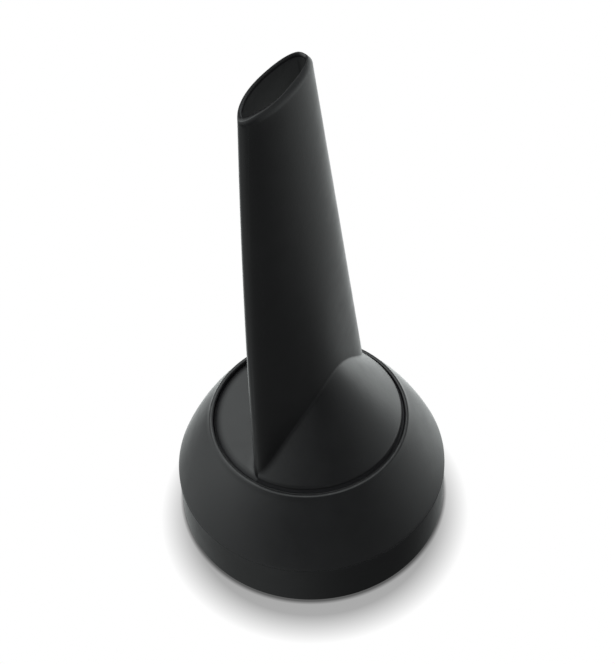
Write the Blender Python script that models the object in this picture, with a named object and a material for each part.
"""Self-contained otoscope head with a flattened speculum.

The head stands on its rubber foot. +Z runs up the viewing axis, from the
eyepiece in the underside to the mouth of the speculum. The origin is on that
axis, in the plane the foot stands on. The speculum's blade lies along X: its
upright edge is at -X and its leaning edge at +X. Its half cone faces -Y and
its flat facet faces +Y.

Sizes are in millimetres and angles in degrees. Names ending in _R are radii
and names ending in _Z are heights; a pair gives (inner, outer) or (bottom, top).
Profiles are closed outlines of (radius, height) points.
"""

import math

import bmesh
import bpy
from mathutils import Matrix

METRES_PER_MM = 0.001

# ---- dimensions shared between pieces ----------------------------------------
BASE_R = 18.0                         # outside of the switch ring and the skirt's foot
PLATE_R = 16.65                       # base plate and the housing's lower sleeve
RING_BORE_R = 16.95                   # switch ring's bore round those two
SCREW_R = 11.8                        # circle of the base screws and bosses
SCREW_ANGLES = (30.0, 150.0, 270.0)
STOP_ANGLE = 20.0                     # where the stop pin stands

# Segments round a full turn
LARGE = 48
MEDIUM = 24
FEW = 16
FEWEST = 12


# ---- helpers -----------------------------------------------------------------
def clear_scene():
    for obj in list(bpy.data.objects):
        bpy.data.objects.remove(obj, do_unlink=True)


def material(name, colour, roughness, metallic=0.0, alpha=1.0):
    mat = bpy.data.materials.new(name)
    mat.use_nodes = True
    shader = mat.node_tree.nodes["Principled BSDF"]
    shader.inputs["Base Color"].default_value = (*colour, 1.0)
    shader.inputs["Roughness"].default_value = roughness
    shader.inputs["Metallic"].default_value = metallic
    shader.inputs["Alpha"].default_value = alpha
    mat.diffuse_color = (*colour, alpha)
    return mat


def finish(shape, name, mat=None, smooth=True, at=(0.0, 0.0, 0.0), turn=0.0):
    """Turn a bmesh drawn in millimetres into a named object in metres."""
    bmesh.ops.remove_doubles(shape, verts=shape.verts, dist=1e-4)
    bmesh.ops.recalc_face_normals(shape, faces=shape.faces)
    if shape.calc_volume(signed=True) < 0:
        bmesh.ops.reverse_faces(shape, faces=shape.faces)
    shape.transform(Matrix.Scale(METRES_PER_MM, 4))
    mesh = bpy.data.meshes.new(name)
    shape.to_mesh(mesh)
    shape.free()
    if smooth:
        mesh.shade_smooth()
        mesh.set_sharp_from_angle(angle=math.radians(35))
    obj = bpy.data.objects.new(name, mesh)
    if mat:
        mesh.materials.append(mat)
    bpy.context.scene.collection.objects.link(obj)
    obj.location = [c * METRES_PER_MM for c in at]
    obj.rotation_euler = (0.0, 0.0, math.radians(turn))
    return obj


def turned(name, profile, segments, mat=None, start=0.0, sweep=360.0, **placing):
    """Spin a profile round Z; a part turn is capped at both ends."""
    shape = bmesh.new()
    angle = math.radians(start)
    verts = [shape.verts.new((r * math.cos(angle), r * math.sin(angle), z)) for r, z in profile]
    edges = [shape.edges.new((verts[i], verts[(i + 1) % len(verts)]))
             for i in range(len(verts))]
    full = sweep >= 360.0
    bmesh.ops.spin(
        shape, geom=verts + edges, axis=(0, 0, 1), cent=(0, 0, 0),
        steps=segments, angle=math.radians(sweep), use_merge=full,
    )
    # Edges on the axis collapse and leave strays without faces.
    bmesh.ops.remove_doubles(shape, verts=shape.verts, dist=1e-4)
    stray = [e for e in shape.edges if not e.link_faces]
    bmesh.ops.delete(shape, geom=stray, context="EDGES")
    if not full:
        rim = [e for e in shape.edges if len(e.link_faces) == 1]
        bmesh.ops.holes_fill(shape, edges=rim, sides=0)
    return finish(shape, name, mat, **placing)


def ring_profile(inner, outer, bottom, top):
    return [(inner, bottom), (outer, bottom), (outer, top), (inner, top)]


def disc_profile(radius, bottom, top, chamfer=0.0):
    if not chamfer:
        return ring_profile(0, radius, bottom, top)
    return [(0, bottom), (radius - chamfer, bottom), (radius, bottom + chamfer),
            (radius, top - chamfer), (radius - chamfer, top), (0, top)]


def torus_profile(major, minor, height, points=6):
    angles = [2 * math.pi * i / points for i in range(points)]
    return [(major + minor * math.cos(a), height + minor * math.sin(a)) for a in angles]


def block(name, size, radius, height, mat=None, turn=0.0, bevel=0.0):
    """A box centred `radius` out along X, its frame turned by `turn` round Z."""
    shape = bmesh.new()
    bmesh.ops.create_cube(shape, size=1.0)
    bmesh.ops.scale(shape, vec=size, verts=shape.verts)
    if bevel:
        bmesh.ops.bevel(shape, geom=list(shape.edges), offset=bevel, segments=1,
                        profile=0.5, affect="EDGES")
    bmesh.ops.translate(shape, vec=(radius, 0, height), verts=shape.verts)
    return finish(shape, name, mat, smooth=False, turn=turn)


def boolean(target, tool, operation):
    """Apply a helper to the target and hide the helper."""
    mod = target.modifiers.new(operation.lower() + "_" + tool.name, "BOOLEAN")
    mod.operation = operation
    mod.solver = "EXACT"
    mod.object = tool
    tool.hide_render = True
    tool.display_type = "WIRE"


def cut_turned(target, name, profile, segments, at=(0.0, 0.0, 0.0), **turning):
    tool = turned(name, profile, segments, at=at, **turning)
    boolean(target, tool, "DIFFERENCE")


def on_circle(radius, angle):
    turn = math.radians(angle)
    return radius * math.cos(turn), radius * math.sin(turn), 0.0


def places(radius, angles):
    """Numbered places round a circle: (number, angle, point)."""
    return [(i, angle, on_circle(radius, angle)) for i, angle in enumerate(angles, 1)]


clear_scene()


# ---- materials ---------------------------------------------------------------
def black_abs(piece):
    return material(piece + "_black_abs", colour=(0.018, 0.019, 0.021), roughness=0.42)


def seal_rubber(name):
    return material(name, colour=(0.05, 0.05, 0.055), roughness=0.7)


def clear_glass(name):
    return material(name, colour=(0.92, 0.95, 0.96), roughness=0.03, alpha=0.35)


def metal(name, colour, roughness):
    return material(name, colour=colour, roughness=roughness, metallic=1.0)


SPECULUM_BLACK = black_abs("speculum")
HOUSING_BLACK = black_abs("housing")
RING_BLACK = black_abs("switch_ring")
PLATE_BLACK = black_abs("base_plate")
FOOT_RUBBER = material("foot_rubber", colour=(0.03, 0.03, 0.032), roughness=0.8)
SPECULUM_SEAL = seal_rubber("speculum_seal_rubber")
LENS_SEAL = seal_rubber("lens_seal_rubber")
SCREW_STEEL = metal("screw_steel", colour=(0.55, 0.55, 0.56), roughness=0.3)
PIN_STEEL = metal("pin_steel", colour=(0.6, 0.6, 0.61), roughness=0.28)
CELL_STEEL = metal("cell_steel", colour=(0.68, 0.68, 0.69), roughness=0.25)
CONTACT_METAL = metal("contact_metal", colour=(0.72, 0.66, 0.5), roughness=0.3)
WIPER_METAL = metal("wiper_metal", colour=(0.75, 0.6, 0.35), roughness=0.3)
BARREL_BLACK = metal("barrel_anodised", colour=(0.02, 0.02, 0.022), roughness=0.35)
RETAINER_BLACK = metal("retainer_anodised", colour=(0.03, 0.03, 0.032), roughness=0.35)
LENS_GLASS = clear_glass("lens_glass")
WINDOW_GLASS = clear_glass("window_glass")
GUIDE_ACRYLIC = material("guide_acrylic", colour=(0.9, 0.93, 0.95), roughness=0.08, alpha=0.5)
BOARD_GREEN = material("board_laminate", colour=(0.03, 0.16, 0.07), roughness=0.5)
LED_BODY = material("led_body", colour=(0.9, 0.86, 0.6), roughness=0.35)
CERAMIC = material("resistor_ceramic", colour=(0.04, 0.04, 0.045), roughness=0.5)
TRAY_GREY = material("tray_plastic", colour=(0.12, 0.12, 0.13), roughness=0.55)
TURRET_BLACK = material("turret_acetal", colour=(0.03, 0.03, 0.03), roughness=0.45)
TURRET_COVER = material("turret_retainer_plastic", colour=(0.05, 0.05, 0.05), roughness=0.5)
WIRE_RED = material("wire_red", colour=(0.45, 0.03, 0.02), roughness=0.5)
WIRE_BLACK = material("wire_black", colour=(0.02, 0.02, 0.02), roughness=0.5)

# ---- speculum: shoulder, spigot, blade and half cone, with a clear way through
SHOULDER_R = 12.05           # inside the housing's opening
SHOULDER_Z = 15.3            # underside of the shoulder
FACET_Z = 16.8               # flat facet on the +Y side
EDGE = 0.3                   # chamfer on spigot and shoulder
SPIGOT_R = (8.3, 10.3)       # plugs into the turret
SPIGOT_Z = (11.0, 16.0)      # foot of the spigot, end of its bore
GROOVE_R = 9.2               # floor of the seal's groove
GROOVE_Z = (12.6, 13.8)
SEAL_R = (9.9, 0.4)          # major and minor radius

CONE_Z = 17.6                # height of the half cone at its outer edge
CONE_RISE = 1.28             # rise per unit of radius (52 degrees)
CONE_HOLLOW_R = 8.2
CONE_HOLLOW_DROP = 1.6       # hollow's slope below the outer slope
HOLLOW_ROOT_Z = 15.9         # both hollows start just under the end of the bore

WALL = 0.8
BLADE_ROOT_Z = 16.3
BLADE_LEVELS = 8
TIP_Z = 75.4                 # height of the mouth
TIP_CORNER = (2.5, 1.2)      # X where the mouth starts to round over, and its radius
# Each pair below is (at the root, at the mouth).
BLADE_HALF_THICK = (4.25, 2.07)
LEANING_EDGE_R = (2.0, 0.55)
UPRIGHT_EDGE_R = 0.25
HOLLOW_UPRIGHT_R = 0.12
HOLLOW_LEANING_MIN_R = 0.2
UPRIGHT_WALL = 1.9           # walls at the blade's edges, per unit of inset
LEANING_WALL = 1.1


def upright_edge(along):
    """Distance of the -X edge from the axis; along is 0 at the root, 1 at the mouth."""
    return 12.0 - 1.02 * along - 2.04 * along * along


def leaning_edge(along):
    """Distance of the +X edge from the axis."""
    return 11.95 - 8.29 * along


def taper(root_and_mouth, along):
    root, mouth = root_and_mouth
    return root + (mouth - root) * along


def mouth_height(x):
    """Height of the mouth's rim, rounded over at the leaning edge."""
    start, radius = TIP_CORNER
    over = min(max(x - start, 0.0), radius * 0.97)
    return TIP_Z - (radius - math.sqrt(radius * radius - over * over))


def blade_outline(half_length, half_thick, upright_r, leaning_r, points):
    """Closed section of the blade in X, Y, pointed at -X and blunter at +X.

    It blends a parabola, which gives the flat pointed sides, with an ellipse,
    which gives each end its own radius.
    """
    upright = math.sqrt(upright_r * half_length)
    leaning = math.sqrt(leaning_r * half_length)
    outline = []
    for i in range(points):
        angle = 2 * math.pi * i / points
        across, height = -math.cos(angle), abs(math.sin(angle))
        blend = (across + 1) / 2
        ellipse = upright + (leaning - upright) * blend * blend * (3 - 2 * blend)
        y = height * ((half_thick - ellipse) * height + ellipse)
        y = math.copysign(y, math.sin(angle)) if height > 1e-9 else 0.0
        outline.append((half_length * across, y))
    return outline


def blade_loft(name, root_z, points, inset=0.0, over=0.0):
    """Loft of sections from the root to the mouth.

    inset thins the section for the hollow, and over carries it past the mouth.
    """
    shape = bmesh.new()
    rings = []
    for k in range(BLADE_LEVELS + 1):
        along = k / BLADE_LEVELS
        left = upright_edge(along) - UPRIGHT_WALL * inset
        right = leaning_edge(along) - LEANING_WALL * inset
        half_thick = taper(BLADE_HALF_THICK, along) - inset
        upright_r, leaning_r = UPRIGHT_EDGE_R, taper(LEANING_EDGE_R, along)
        if inset:
            upright_r = HOLLOW_UPRIGHT_R
            leaning_r = max(HOLLOW_LEANING_MIN_R, leaning_r - inset)
        ring = []
        for x, y in blade_outline((left + right) / 2, half_thick, upright_r, leaning_r, points):
            x += (right - left) / 2
            top = mouth_height(x) + over
            ring.append(shape.verts.new((x, y, root_z + (top - root_z) * along)))
        rings.append(ring)
    for low, high in zip(rings, rings[1:]):
        for i in range(points):
            j = (i + 1) % points
            shape.faces.new((low[i], low[j], high[j], high[i]))
    shape.faces.new(list(reversed(rings[0])))
    shape.faces.new(rings[-1])
    return finish(shape, name)


def half_cone(name, profile, segments, setback):
    """Half turn on the -Y side, set back by an angle at each end."""
    return turned(name, profile, segments, start=180 + setback, sweep=180 - 2 * setback)


def cone_height(radius):
    return CONE_Z + (SHOULDER_R - radius) * CONE_RISE


def make_speculum():
    bore_r, spigot_r = SPIGOT_R
    foot_z, bore_end_z = SPIGOT_Z
    speculum = turned(
        "speculum",
        [(0, bore_end_z), (bore_r, bore_end_z), (bore_r, foot_z),
         (spigot_r - EDGE, foot_z), (spigot_r, foot_z + EDGE),
         (spigot_r, GROOVE_Z[0]), (GROOVE_R, GROOVE_Z[0]),
         (GROOVE_R, GROOVE_Z[1]), (spigot_r, GROOVE_Z[1]),
         (spigot_r, SHOULDER_Z), (SHOULDER_R, SHOULDER_Z),
         (SHOULDER_R, FACET_Z - EDGE), (SHOULDER_R - EDGE, FACET_Z), (0, FACET_Z)],
        LARGE, SPECULUM_BLACK)
    blade = blade_loft("blade_shape", BLADE_ROOT_Z, points=36)
    cone_r = SHOULDER_R - 0.05
    cone = half_cone(
        "half_cone_shape",
        [(0, 16.2), (cone_r, 16.2), (cone_r, CONE_Z - 0.25),
         (SHOULDER_R - EDGE, cone_height(SHOULDER_R - EDGE)), (0, cone_height(0))],
        segments=24, setback=0.3)
    hollow = blade_loft("blade_hollow", HOLLOW_ROOT_Z, points=28, inset=WALL, over=2.0)
    cone_hollow = half_cone(
        "half_cone_hollow",
        [(0, HOLLOW_ROOT_Z), (CONE_HOLLOW_R, HOLLOW_ROOT_Z),
         (CONE_HOLLOW_R, cone_height(CONE_HOLLOW_R) - CONE_HOLLOW_DROP),
         (0, cone_height(0) - CONE_HOLLOW_DROP)],
        segments=20, setback=4.0)
    boolean(speculum, blade, "UNION")
    boolean(speculum, cone, "UNION")
    boolean(speculum, hollow, "DIFFERENCE")
    boolean(speculum, cone_hollow, "DIFFERENCE")
    turned("speculum_o_ring", torus_profile(*SEAL_R, sum(GROOVE_Z) / 2), MEDIUM, SPECULUM_SEAL)


# ---- turret: the socket the speculum plugs into, free to turn in the housing
TURRET_R = (10.6, 12.2)
TURRET_Z = (11.1, 15.0)
FLANGE_R = 13.3              # trapped under the housing's ledge
FLANGE_TOP_Z = 12.2


def make_turret():
    inner, outer = TURRET_R
    bottom, top = TURRET_Z
    turned("turret_ring",
           [(inner, bottom), (FLANGE_R, bottom), (FLANGE_R, FLANGE_TOP_Z),
            (outer, FLANGE_TOP_Z), (outer, top), (inner, top)],
           LARGE, TURRET_BLACK)
    turned("turret_retainer", ring_profile(10.8, 14.1, 10.0, 10.8), LARGE, TURRET_COVER)


# ---- housing: conical skirt, ledge for the turret, bosses for the screws
SLEEVE_R = (15.0, PLATE_R)
SLEEVE_Z = 4.0               # bottom of the sleeve inside the switch ring
SPLIT_Z = 7.3                # skirt's lower edge
SKIRT_EDGE = 0.15            # chamfer on that edge
SKIRT_TOP_Z = 16.6
SKIRT_BULGE = 0.36           # swell past a straight cone
SKIRT_STEPS = 4
LIP_R = 13.05
LIP_Z = 17.0
BORE_R = 12.6                # opening in the top
LEDGE_Z = 12.5               # underside of the ledge over the turret's flange
CHAMBER_R = 14.4             # below the ledge
CHAMBER_Z = 8.9
BOSS_Z = (2.8, 7.3)
BOSS_WEB = (2.9, 1.6, 3.0)   # size along the radius, across it and up


def skirt_points():
    """Skirt's outside, from its foot up, with a parabolic swell."""
    foot_z = SPLIT_Z + SKIRT_EDGE
    points = []
    for i in range(SKIRT_STEPS + 1):
        up = i / SKIRT_STEPS
        swell = SKIRT_BULGE * 4 * up * (1 - up)
        points.append((BASE_R + (LIP_R + 0.15 - BASE_R) * up + swell,
                       foot_z + (SKIRT_TOP_Z - foot_z) * up))
    return points


def make_housing():
    inner, outer = SLEEVE_R
    housing = turned(
        "housing",
        [(outer, SLEEVE_Z), (outer, SPLIT_Z), (BASE_R - SKIRT_EDGE, SPLIT_Z),
         *skirt_points(),
         (LIP_R - 0.05, LIP_Z - 0.12), (LIP_R - 0.25, LIP_Z),
         (BORE_R + 0.1, LIP_Z - 0.12), (BORE_R, SKIRT_TOP_Z),
         (BORE_R, LEDGE_Z), (CHAMBER_R, LEDGE_Z),
         (CHAMBER_R, CHAMBER_Z), (inner, CHAMBER_Z), (inner, SLEEVE_Z)],
        LARGE, HOUSING_BLACK)
    for i, angle, point in places(SCREW_R, SCREW_ANGLES):
        post = turned(f"boss_post_{i}", disc_profile(1.7, *BOSS_Z), MEDIUM, at=point)
        web = block(f"boss_web_{i}", BOSS_WEB, radius=13.95, height=5.8, turn=angle)
        boolean(housing, post, "UNION")
        boolean(housing, web, "UNION")
    for i, _, point in places(SCREW_R, SCREW_ANGLES):
        cut_turned(housing, f"boss_pilot_{i}", disc_profile(1.2, 2.0, 6.7), FEW, point)


# ---- switch: upright band turned by hand, its wiper and contact
RING_Z = (0.3, 6.98)
RING_LOW_EDGE = 0.25         # chamfers
RING_TOP_EDGE = 0.15
RIB_R = 15.3                 # rib trapped between plate and housing
RIB_Z = (2.8, 3.7)
SWITCH_TURN = 40.0           # from off to full light
NOTCH_MARGIN = 3.0           # extra angle at each end of the stop notch
WIPER_PROFILE = [(13.9, 2.85), (15.0, 2.85), (15.0, 3.25),
                 (14.6, 3.25), (14.6, 3.5), (13.9, 3.5)]


def make_switch():
    bottom, top = RING_Z
    ring = turned(
        "switch_ring",
        [(RING_BORE_R, bottom), (BASE_R - RING_LOW_EDGE, bottom),
         (BASE_R, bottom + RING_LOW_EDGE), (BASE_R, top - RING_TOP_EDGE),
         (BASE_R - RING_TOP_EDGE, top), (RING_BORE_R, top),
         (RING_BORE_R, RIB_Z[1]), (RIB_R, RIB_Z[1]),
         (RIB_R, RIB_Z[0]), (RING_BORE_R, RIB_Z[0])],
        LARGE, RING_BLACK)
    cut_turned(ring, "stop_notch", ring_profile(14.8, 17.15, 2.4, 4.1), 12,
               start=STOP_ANGLE - SWITCH_TURN - NOTCH_MARGIN,
               sweep=SWITCH_TURN + 2 * NOTCH_MARGIN)
    turned("switch_wiper", WIPER_PROFILE, 4, WIPER_METAL, start=128.0, sweep=12.0, smooth=False)
    turned("switch_contact", ring_profile(12.4, 14.6, 3.8, 4.1), 6, CONTACT_METAL,
           start=162.0, sweep=22.0, smooth=False)


# ---- underside: base plate, screws, stop pin, foot and window
PLATE_BORE_R = 4.4
PLATE_Z = (0.5, 2.5)
WINDOW_RECESS = (5.5, 1.7)   # radius and ceiling
FOOT_RECESS = (14.3, 1.4)    # inner radius and ceiling
FOOT_R = (14.6, 16.4)
FOOT_EDGE = 0.15
FOOT_TOP_Z = 1.1
STOP_R = 15.5                # circle the stop pin stands on
HEAD_HOLE_R = 2.0            # recess for the screw's head
SHANK_HOLE_R = 1.25
SCREW_HOLE_PROFILE = [(0, 0.0), (HEAD_HOLE_R, 0.0), (HEAD_HOLE_R, 1.5),
                      (SHANK_HOLE_R, 1.5), (SHANK_HOLE_R, 3.0), (0, 3.0)]
SCREW_PROFILE = [(0, 0.62), (1.5, 0.62), (1.7, 0.82), (1.7, 1.2),
                 (0.9, 1.2), (0.9, 5.8), (0.35, 6.35), (0, 6.35)]


def make_underside():
    bottom, top = PLATE_Z
    window_r, window_z = WINDOW_RECESS
    foot_r, foot_z = FOOT_RECESS
    plate = turned(
        "base_plate",
        [(PLATE_BORE_R, window_z), (window_r, window_z), (window_r, bottom),
         (foot_r, bottom), (foot_r, foot_z), (PLATE_R, foot_z),
         (PLATE_R, top), (PLATE_BORE_R, top)],
        LARGE, PLATE_BLACK)
    for i, _, point in places(SCREW_R, SCREW_ANGLES):
        cut_turned(plate, f"plate_hole_{i}", SCREW_HOLE_PROFILE, FEW, point)
        screw = turned(f"base_screw_{i}", SCREW_PROFILE, FEWEST, SCREW_STEEL, at=point)
        # Six segments make the socket hexagonal.
        cut_turned(screw, f"screw_socket_{i}", disc_profile(0.75, 0.3, 0.92), 6, point)
    pin = on_circle(STOP_R, STOP_ANGLE)
    cut_turned(plate, "pin_hole", disc_profile(0.75, 1.7, 3.0), FEW, pin)
    turned("stop_pin", disc_profile(0.5, 2.0, 3.5, chamfer=0.1), FEW, PIN_STEEL, at=pin)
    inner, outer = FOOT_R
    turned("rubber_foot",
           [(inner, FOOT_EDGE), (inner + FOOT_EDGE, 0), (outer - FOOT_EDGE, 0),
            (outer, FOOT_EDGE), (outer, FOOT_TOP_Z), (inner, FOOT_TOP_Z)],
           LARGE, FOOT_RUBBER)
    turned("eyepiece_window", disc_profile(5.2, 0.8, 1.4, chamfer=0.1), MEDIUM, WINDOW_GLASS)


# ---- optics
BARREL_PROFILE = [(4.2, 2.8), (6.4, 2.8), (6.4, 8.4), (5.0, 8.4), (5.0, 3.8), (4.2, 3.8)]
LENS_R = 4.7
LENS_MID_Z = 6.0
LENS_EDGE = 0.5              # half thickness at the rim
LENS_SAG = 0.6               # each face's bulge at the axis
LENS_STEPS = 4


def make_optics():
    turned("lens_barrel", BARREL_PROFILE, MEDIUM, BARREL_BLACK)
    turned("lens_o_ring", torus_profile(4.55, 0.25, 4.35), MEDIUM, LENS_SEAL)
    lower = []
    for i in range(LENS_STEPS + 1):
        out = i / LENS_STEPS
        lower.append((LENS_R * out, LENS_MID_Z - LENS_EDGE - LENS_SAG * (1 - out ** 2)))
    upper = [(r, 2 * LENS_MID_Z - z) for r, z in reversed(lower)]
    turned("magnifier_lens", lower + upper, MEDIUM, LENS_GLASS)
    turned("lens_retainer", ring_profile(3.9, LENS_R, 7.4, 8.2), MEDIUM, RETAINER_BLACK)


# ---- light
LED_R = 7.3
LED_ANGLES = (45.0, 135.0, 225.0, 315.0)
GUIDE_PROFILE = [(6.6, 9.5), (10.4, 9.5), (10.4, 9.9), (8.0, 9.9),
                 (8.0, 14.2), (7.8, 14.4), (6.8, 14.4), (6.6, 14.2)]


def make_light():
    turned("led_board", ring_profile(6.7, 14.0, 7.6, 8.4), LARGE, BOARD_GREEN)
    for i, angle in enumerate(LED_ANGLES, 1):
        block(f"led_{i}", (1.3, 1.6, 0.5), LED_R, 8.95, LED_BODY, turn=angle, bevel=0.12)
    block("resistor", (0.8, 1.6, 0.45), 9.6, 8.93, CERAMIC, bevel=0.08)
    turned("light_guide", GUIDE_PROFILE, MEDIUM, GUIDE_ACRYLIC)


# ---- power: tray, cells in series, leads and contacts
TRAY_R = (6.8, 14.7)
TRAY_Z = (4.4, 6.7)
TRAY_CUT_Z = (4.0, 7.8)      # cutters pass right through the tray
CELL_CIRCLE_R = 10.8
CELL_ANGLES = (90.0, 210.0, 330.0)
CELL_R = 2.9
CELL_Z = 4.6                 # underside of a cell
CELL_H = 2.1
CELL_CAP_R = 2.1             # smaller disc under each cell
CELL_EDGE = 0.2
CELL_CLEARANCE = 0.3
# Name, circle's radius, angle, material
LEADS = (
    ("battery", 8.4, 3.0, WIRE_BLACK),
    ("switch", 13.0, 174.0, WIRE_RED),
)
CONTACT_R = (7.2, 9.6)
CONTACT_T = 0.3
# Name, underside, start angle, sweep
CONTACTS = (
    ("contact_lower_bridge", 3.8, 76.0, 148.0),
    ("contact_lower_end", 3.8, 316.0, 52.0),
    ("contact_upper_bridge", 7.0, 196.0, 148.0),
    ("contact_upper_end", 7.0, 76.0, 28.0),
)


def cut_tray(tray, name, radius, segments, point):
    cut_turned(tray, name, disc_profile(radius, *TRAY_CUT_Z), segments, point)


def make_power():
    tray = turned("battery_tray", ring_profile(*TRAY_R, *TRAY_Z), LARGE, TRAY_GREY)
    rim_r, top = CELL_R - CELL_EDGE, CELL_Z + CELL_H
    cell_profile = [(0, CELL_Z), (CELL_CAP_R, CELL_Z), (CELL_CAP_R, CELL_Z + CELL_EDGE),
                    (rim_r, CELL_Z + CELL_EDGE), (CELL_R, CELL_Z + 2 * CELL_EDGE),
                    (CELL_R, top - CELL_EDGE), (rim_r, top), (0, top)]
    for i, _, point in places(CELL_CIRCLE_R, CELL_ANGLES):
        cut_tray(tray, f"cell_pocket_{i}", CELL_R + CELL_CLEARANCE, FEW, point)
        turned(f"button_cell_{i}", cell_profile, FEW, CELL_STEEL, at=point)
    # Room for the housing's bosses and webs
    for i, angle, point in places(SCREW_R, SCREW_ANGLES):
        cut_tray(tray, f"boss_clear_{i}", 2.1, FEW, point)
        slot = block(f"web_clear_{i}", (3.6, 2.4, 3.8), radius=14.0, height=5.9, turn=angle)
        boolean(tray, slot, "DIFFERENCE")
    for name, radius, angle, mat in LEADS:
        point = on_circle(radius, angle)
        cut_tray(tray, f"lead_way_{name}", 0.8, FEWEST, point)
        turned(f"lead_{name}", disc_profile(0.4, 4.4, 7.3, chamfer=0.1), FEWEST, mat, at=point)
    for name, bottom, start, sweep in CONTACTS:
        turned(name, ring_profile(*CONTACT_R, bottom, bottom + CONTACT_T),
               max(4, int(sweep / 8)), CONTACT_METAL, start=start, sweep=sweep, smooth=False)


make_speculum()
make_turret()
make_housing()
make_switch()
make_underside()
make_optics()
make_light()
make_power()
